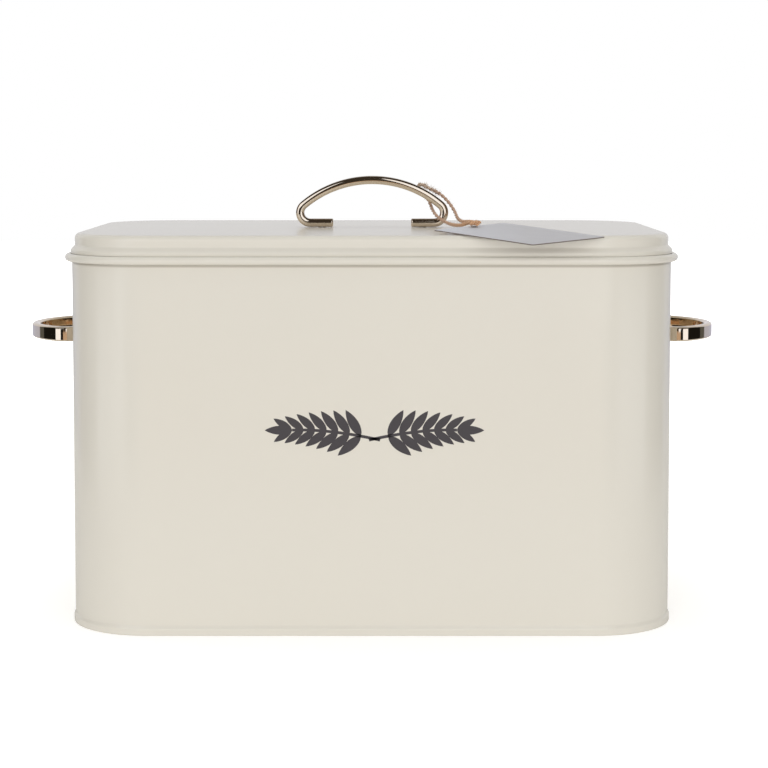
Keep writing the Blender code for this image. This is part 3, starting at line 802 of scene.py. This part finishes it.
# ---- Lid collar ----
# A strip of the same sheet inside the lid's wall. It reaches down into the bin's mouth and keeps the lid from
# sliding.
COLLAR_OUTER = -(LID_INSET + SHEET + GAP)
COLLAR_REACH = 9.0 * MM
COLLAR_TOP_GAP = 3.6 * MM

collar_face = [(COLLAR_OUTER, RIM_HEIGHT - COLLAR_REACH), (COLLAR_OUTER, LID_HEIGHT - COLLAR_TOP_GAP)]
collar_skin = bored(pressed_sheet("collar_skin", collar_face, SHEET), [])
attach(collar_skin, "lid")
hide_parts("lid_collar")

# ---- Lid handle ----
# A longer bow of the same plated bar. It stands along the middle of the lid and is screwed on from below, like
# the side handles.
LID_BOW_LENGTH = 88.8 * MM
LID_BOW_HEIGHT = 29.7 * MM

seat = (0.0, 0.0, LID_HEIGHT + GAP)
lid_bow = bow_handle("lid_bow", LID_BOW_LENGTH, LID_BOW_HEIGHT, seat, (1.0, 0.0, 0.0), (0.0, 0.0, 1.0))
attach(lid_bow, "lid")
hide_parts("lid_handle")

# ---- Swing tag ----
# A blank card of 0.6 mm grey board, punched at one end, that lies on the lid and over its front edge. Its cut
# edges are painted dark as shade, for the shadow along the card's edge, and its punched end is a little paler.
BOARD_DARK = opaque(0.50, 0.49, 0.51)
BOARD_PALE = opaque(0.61, 0.60, 0.61)
BOARD_END = opaque(0.66, 0.67, 0.72)
BOARD_FIBRE = opaque(0.66, 0.65, 0.66)
# Painted shade for the card's cut edges.
BOARD_EDGE_SHADE = opaque(0.20, 0.17, 0.15)
PALE_END_LIMIT = 0.085
PALE_END_SLOPE = 24.0

board, pen = new_finish("grey_board")
place = pen.node("ShaderNodeTexCoord").out("Object")
cloud = pen.node("ShaderNodeTexNoise", {"Vector": place, "Scale": 70.0, "Detail": 4.0, "Roughness": 0.6})
fibre = pen.node("ShaderNodeTexNoise", {"Vector": place, "Scale": 1100.0, "Detail": 3.0, "Roughness": 0.7})
ends = pen.node("ShaderNodeSeparateXYZ", {"Vector": place})
pale_end = pen.maths("MULTIPLY", PALE_END_LIMIT - ends, PALE_END_SLOPE, clamp=True)
base_colour = pen.mix(cloud, BOARD_DARK, BOARD_PALE)
base_colour = pen.mix(pale_end * 0.8, base_colour, BOARD_END)
base_colour = pen.mix(fibre * 0.3, base_colour, BOARD_FIBRE)
facing = pen.node("ShaderNodeSeparateXYZ", {"Vector": pen.node("ShaderNodeTexCoord").out("Normal")}).out("Z")
# Painted shade: faces that stand on edge take a dark colour, for the shadow along the card's cut edges.
painted_edge_shade = pen.maths("LESS_THAN", pen.maths("ABSOLUTE", facing), 0.5)
base_colour = pen.mix(painted_edge_shade, base_colour, BOARD_EDGE_SHADE)
skin = pen.node("ShaderNodeBump", {"Strength": 0.5, "Distance": 0.00005, "Height": fibre})
shader = pen.node(
    "ShaderNodeBsdfPrincipled",
    {"Base Color": base_colour, "Roughness": 0.5 + cloud * 0.2, "Normal": skin},
)
pen.node("ShaderNodeOutputMaterial", {"Surface": shader})
swing_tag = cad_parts["swing_tag"]
for slot in swing_tag.material_slots:
    slot.material = board

# ---- Twine ----
# Two plies of natural jute twisted together. It runs from a knot on the tag, loops round the right end of the
# lid handle and comes back to the knot, with loose fibres standing off it.
PLY_RADIUS = 0.56 * MM
LAY_RADIUS = 0.46 * MM
TWINE_PITCH = 5.2 * MM
TWINE_STEP = 0.35 * MM
ROUTE_STEPS = 16
BROWN_DARK = opaque(0.33, 0.19, 0.135)
BROWN_PALE = opaque(0.60, 0.41, 0.31)
ORANGE_DARK = opaque(0.44, 0.19, 0.07)
ORANGE_PALE = opaque(0.78, 0.44, 0.22)
WORN_COLOUR = opaque(0.60, 0.49, 0.38)
FIBRE_COLOUR = opaque(0.70, 0.50, 0.34)
ORANGE_SLOPE = 22.0
WORN_HEIGHT = 238.0 * MM
WORN_SLOPE = 700.0
TWINE_ROUTE = [
    (0.0572, -0.0654, 0.2224),
    (0.0559, -0.0560, 0.2223),
    (0.0545, -0.0430, 0.2219),
    (0.0528, -0.0300, 0.2213),
    (0.0511, -0.0180, 0.2213),
    (0.0494, -0.0095, 0.2227),
    (0.0483, -0.0045, 0.2255),
    (0.0462, -0.0015, 0.2292),
    (0.0434, 0.0005, 0.2327),
    (0.0402, 0.0020, 0.2357),
    (0.0367, 0.0030, 0.2379),
    (0.0331, 0.0032, 0.2395),
    (0.0298, 0.0038, 0.2414),
    (0.0274, 0.0056, 0.2412),
    (0.0277, 0.0064, 0.2387),
    (0.0300, 0.0064, 0.2357),
    (0.0328, 0.0064, 0.2327),
    (0.0342, 0.0042, 0.2296),
    (0.0352, 0.0002, 0.2270),
    (0.0368, -0.0040, 0.2244),
    (0.0392, -0.0072, 0.2221),
    (0.0422, -0.0120, 0.2204),
    (0.0454, -0.0210, 0.2194),
    (0.0483, -0.0330, 0.2194),
    (0.0509, -0.0450, 0.2201),
    (0.0532, -0.0570, 0.2215),
    (0.0551, -0.0658, 0.2222),
]


def smooth_route(route, steps):
    """Points on a smooth curve through the route's points, a number of steps between each two."""
    points = [Vector(point) for point in route]
    ends = [2 * points[0] - points[1]] + points + [2 * points[-1] - points[-2]]
    fine = []
    for before, start, end, after in zip(ends, ends[1:], ends[2:], ends[3:]):
        slope_in = (end - before) / 2
        slope_out = (after - start) / 2
        for step in range(steps):
            t = step / steps
            near = start * (2 * t**3 - 3 * t**2 + 1) + slope_in * (t**3 - 2 * t**2 + t)
            fine.append(near + end * (3 * t**2 - 2 * t**3) + slope_out * (t**3 - t**2))
    return fine + [points[-1]]


jute, pen = new_finish("jute_twine")
place = pen.node("ShaderNodeTexCoord").out("Object")
cloud = pen.node("ShaderNodeTexNoise", {"Vector": place, "Scale": 160.0, "Detail": 3.0})
fibre = pen.node("ShaderNodeTexNoise", {"Vector": place, "Scale": 2400.0, "Detail": 4.0, "Roughness": 0.75})
ends = pen.node("ShaderNodeSeparateXYZ", {"Vector": place})
warm = pen.maths("MULTIPLY", ends.out("Y") * -1.0, ORANGE_SLOPE, clamp=True)
brown = pen.mix(cloud, BROWN_DARK, BROWN_PALE)
orange = pen.mix(cloud, ORANGE_DARK, ORANGE_PALE)
base_colour = pen.mix(warm, brown, orange)
worn = pen.maths("MULTIPLY", ends.out("Z") - WORN_HEIGHT, WORN_SLOPE, clamp=True)
base_colour = pen.mix(worn * 0.75, base_colour, WORN_COLOUR)
base_colour = pen.mix(fibre * 0.5, base_colour, FIBRE_COLOUR)
skin = pen.node("ShaderNodeBump", {"Strength": 0.8, "Distance": 0.0002, "Height": fibre})
shader = pen.node(
    "ShaderNodeBsdfPrincipled",
    {"Base Color": base_colour, "Roughness": 0.8, "Normal": skin, "Sheen Weight": 0.25, "Sheen Roughness": 0.5},
)
pen.node("ShaderNodeOutputMaterial", {"Surface": shader})

pen, given = node_tree(
    "twisted_plies",
    {"Ply radius": "Float", "Lay radius": "Float", "Pitch": "Float", "Step": "Float", "Finish": "Material"},
)
path = pen.node("GeometryNodeMeshToCurve", {"Mesh": given["Geometry"]})
path = pen.node("GeometryNodeResampleCurve", {"Curve": path, "Length": given["Step"]}, mode="LENGTH")
across = pen.node("GeometryNodeInputNormal")
along = pen.node("GeometryNodeInputTangent")
third = pen.node("ShaderNodeVectorMath", {0: across, 1: along}, operation="CROSS_PRODUCT")
run = pen.node("GeometryNodeSplineParameter").out("Length")
circle = pen.node("GeometryNodeCurvePrimitiveCircle", {"Resolution": 10, "Radius": given["Ply radius"]})
plies = pen.node("GeometryNodeJoinGeometry")
for start in (0.0, math.pi):
    angle = run * (2.0 * math.pi) / given["Pitch"] + start
    sideways = pen.maths("COSINE", angle) * given["Lay radius"]
    first = pen.node("ShaderNodeVectorMath", {0: across, "Scale": sideways}, operation="SCALE")
    upwards = pen.maths("SINE", angle) * given["Lay radius"]
    second = pen.node("ShaderNodeVectorMath", {0: third, "Scale": upwards}, operation="SCALE")
    offset = pen.node("ShaderNodeVectorMath", {0: first, 1: second}, operation="ADD")
    ply = pen.node("GeometryNodeSetPosition", {"Geometry": path, "Offset": offset})
    ply = pen.node("GeometryNodeCurveToMesh", {"Curve": ply, "Profile Curve": circle, "Fill Caps": True})
    pen.tree.links.new(ply.socket, plies.socket.node.inputs[0])
finish_tree(pen, plies, given["Finish"])
PLY_TREE = pen.tree


def twisted(name, route, pitch):
    """Two twisted plies along a route."""
    values = {"Ply radius": PLY_RADIUS, "Lay radius": LAY_RADIUS, "Pitch": pitch, "Step": TWINE_STEP, "Finish": jute}
    return link_object(name, whole(grown(name, line_mesh(name, route, False), PLY_TREE, values)), jute)


route = smooth_route(TWINE_ROUTE, ROUTE_STEPS)
twine = twisted("twine", route, TWINE_PITCH)
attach(twine, "lid")
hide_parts("tag_twine")

# ---- Knot ----
# The ends of the twine are tied in an overhand knot that sits over the tag's punched hole.
KNOT_REACH = 1.75 * MM
KNOT_LOOP = 0.85 * MM
KNOT_FLATNESS = 0.75
KNOT_DRAWN = 0.97
KNOT_STEPS = 150
KNOT_PITCH = 4.0 * MM

knot_low, knot_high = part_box("twine_knot")
knot_centre = (knot_low + knot_high) / 2
knot_route = []
for step in range(KNOT_STEPS + 1):
    angle = 2 * math.pi * step / KNOT_STEPS * KNOT_DRAWN
    out = KNOT_REACH + KNOT_LOOP * math.cos(3 * angle)
    up = KNOT_FLATNESS * KNOT_LOOP * math.sin(3 * angle)
    spot = (out * math.cos(2 * angle), out * math.sin(2 * angle), up)
    knot_route.append(tuple(knot_centre + Vector(spot)))
knot = twisted("knot", knot_route, KNOT_PITCH)
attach(knot, "lid")
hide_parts("twine_knot")

# ---- Loose fibres ----
# Short ends of jute that stand off the twine all along it, with thicker tufts where it was bent over the handle.
FIBRE_LENGTH = 2.2 * MM
FIBRE_THICKNESS = 0.15 * MM
FIBRE_CURL = 0.35
FIBRE_THINNING = 0.7
FIBRE_RINGS = 5
ANY_TURN = (6.28, 6.28, 6.28)
FIRST_TUFT = slice(178, 205)
SECOND_TUFT = slice(148, 174)


def bent_fibre(name, length, thickness):
    """One thin curled fibre with a pointed end, standing on the origin."""
    form = bmesh.new()
    rings = []
    for step in range(FIBRE_RINGS):
        share = step / FIBRE_RINGS
        reach = thickness / 2 * (1.0 - FIBRE_THINNING * share)
        middle = Vector((FIBRE_CURL * length * share**2, 0.0, length * share))
        turns = [math.radians(120 * corner) for corner in range(3)]
        rings.append([form.verts.new(middle + reach * Vector((math.cos(t), math.sin(t), 0.0))) for t in turns])
    tip = form.verts.new((FIBRE_CURL * length, 0.0, length))
    form.faces.new(rings[0][::-1])
    for low, high in zip(rings, rings[1:]):
        for corner in range(3):
            after = (corner + 1) % 3
            form.faces.new((low[corner], low[after], high[after], high[corner]))
    for corner in range(3):
        form.faces.new((rings[-1][corner], rings[-1][(corner + 1) % 3], tip))
    mesh = bpy.data.meshes.new(name)
    form.to_mesh(mesh)
    form.free()
    return mesh


pen, given = node_tree(
    "loose_fibres",
    {
        "Fibre": "Object",
        "Spacing": "Float",
        "Spread": "Float",
        "Shortest": "Float",
        "Seed": "Int",
        "Finish": "Material",
    },
)
path = pen.node("GeometryNodeMeshToCurve", {"Mesh": given["Geometry"]})
roots = pen.node("GeometryNodeCurveToPoints", {"Curve": path, "Length": given["Spacing"]}, mode="LENGTH")
spread = given["Spread"]
low = pen.node("ShaderNodeCombineXYZ", {"X": spread * -1.0, "Y": spread * -1.0, "Z": spread * -1.0})
high = pen.node("ShaderNodeCombineXYZ", {"X": spread, "Y": spread, "Z": spread})
seed = given["Seed"]
shift = pen.node("FunctionNodeRandomValue", {0: low, 1: high, "Seed": seed}, data_type="FLOAT_VECTOR")
roots = pen.node("GeometryNodeSetPosition", {"Geometry": roots, "Offset": shift})
turn = {0: (0.0, 0.0, 0.0), 1: ANY_TURN, "Seed": seed + 1.0}
turn = pen.node("FunctionNodeRandomValue", turn, data_type="FLOAT_VECTOR")
size = {2: given["Shortest"], 3: 1.0, "Seed": seed + 2.0}
size = pen.node("FunctionNodeRandomValue", size, output=1, data_type="FLOAT")
fibre = pen.node("GeometryNodeObjectInfo", {"Object": given["Fibre"]}).out("Geometry")
stood = {"Points": roots, "Instance": fibre, "Rotation": turn, "Scale": size}
stood = pen.node("GeometryNodeInstanceOnPoints", stood)
finish_tree(pen, stood, given["Finish"])
FIBRE_TREE = pen.tree

single = link_object("fibre", bent_fibre("fibre", FIBRE_LENGTH, FIBRE_THICKNESS))
strand = link_object("strand", bent_fibre("strand", 1.2 * FIBRE_LENGTH, 2.0 * FIBRE_THICKNESS))
fluff = []
for name, pattern, points, spacing, spread, shortest, seed in (
    ("along_twine", single, route, 0.36 * MM, 0.45 * MM, 0.3, 3),
    ("first_tuft", strand, route[FIRST_TUFT], 0.05 * MM, 1.0 * MM, 0.6, 11),
    ("second_tuft", strand, route[SECOND_TUFT], 0.05 * MM, 0.8 * MM, 0.6, 23),
    ("knot_fluff", single, knot_route, 0.35 * MM, 0.4 * MM, 0.5, 31),
):
    values = {"Fibre": pattern, "Spacing": spacing, "Spread": spread, "Shortest": shortest, "Seed": seed}
    values["Finish"] = jute
    fluff.append(grown(name, line_mesh(name, [tuple(point) for point in points], False), FIBRE_TREE, values))
for pattern in (single, strand):
    bpy.data.objects.remove(pattern)
form = bmesh.new()
for mesh in fluff:
    form.from_mesh(mesh)
bmesh.ops.recalc_face_normals(form, faces=form.faces)
mesh = bpy.data.meshes.new("twine_fibres")
form.to_mesh(mesh)
form.free()
twine_fibres = link_object("twine_fibres", mesh, jute)
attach(twine_fibres, "lid")
